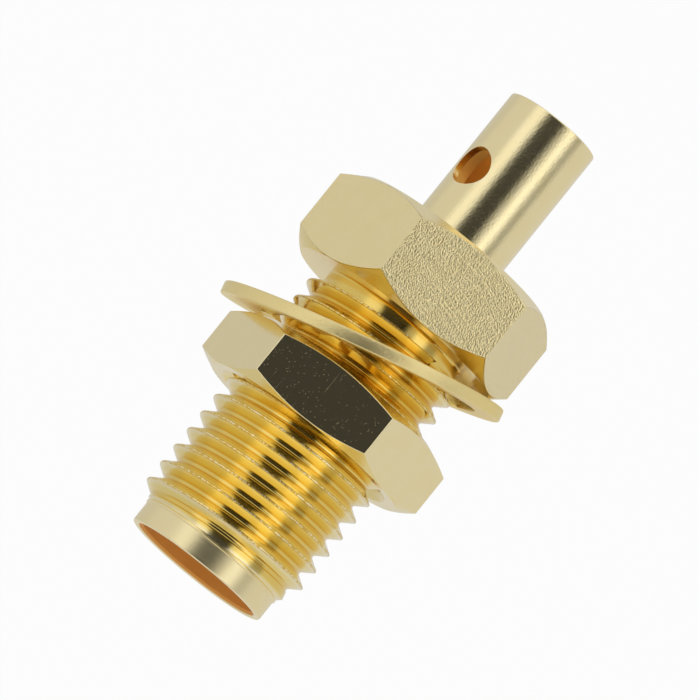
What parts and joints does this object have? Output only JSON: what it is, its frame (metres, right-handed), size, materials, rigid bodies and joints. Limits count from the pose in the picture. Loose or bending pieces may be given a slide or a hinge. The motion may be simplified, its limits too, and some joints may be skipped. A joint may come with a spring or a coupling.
{
  "type": "bulkhead coaxial connector",
  "caption": "Gold-plated threaded bulkhead coaxial jack with a hexagonal flange, a panel nut, a tilted toothed lock washer and a soldering tail for a thin semi-rigid cable.",
  "frame": {"origin": "on the connector's axis, in the flange's panel face, which the panel clamps against", "axes": "+Z along the connector's axis to the mating end; the flange's corners lie at 0, 60 and 120 degrees round it from +X"},
  "size_m": [0.0099, 0.0101, 0.019],
  "materials": {
    "gold_plate": "turned brass, gold plated, satin to polished",
    "white_dielectric": "smooth white fluoropolymer",
    "contact_gold": "polished gold plate",
    "nut_gold": "polished gold plate",
    "washer_gold": "stamped, gold plated, satin"
  },
  "bodies": {
    "body": {"body": "gold_plate", "insulator": "white_dielectric", "contact": "contact_gold"},
    "lock_washer": {"lock_washer": "washer_gold"},
    "nut": {"nut": "nut_gold"}
  },
  "joints": [
    {"name": "washer_slide", "type": "slide", "parent": "body", "child": "lock_washer", "axis": [0, 0, 1], "range_m": [0, 0.00705]},
    {"name": "nut_turn", "type": "hinge", "parent": "lock_washer", "child": "nut", "pos_m": [0, 0, 0.00373], "axis": [0, 0, 1], "range_deg": [0, 3600]}
  ],
  "couplings": [
    {"joint": "nut_turn", "follows": "washer_slide", "rad_per_m": 8904.7}
  ]
}
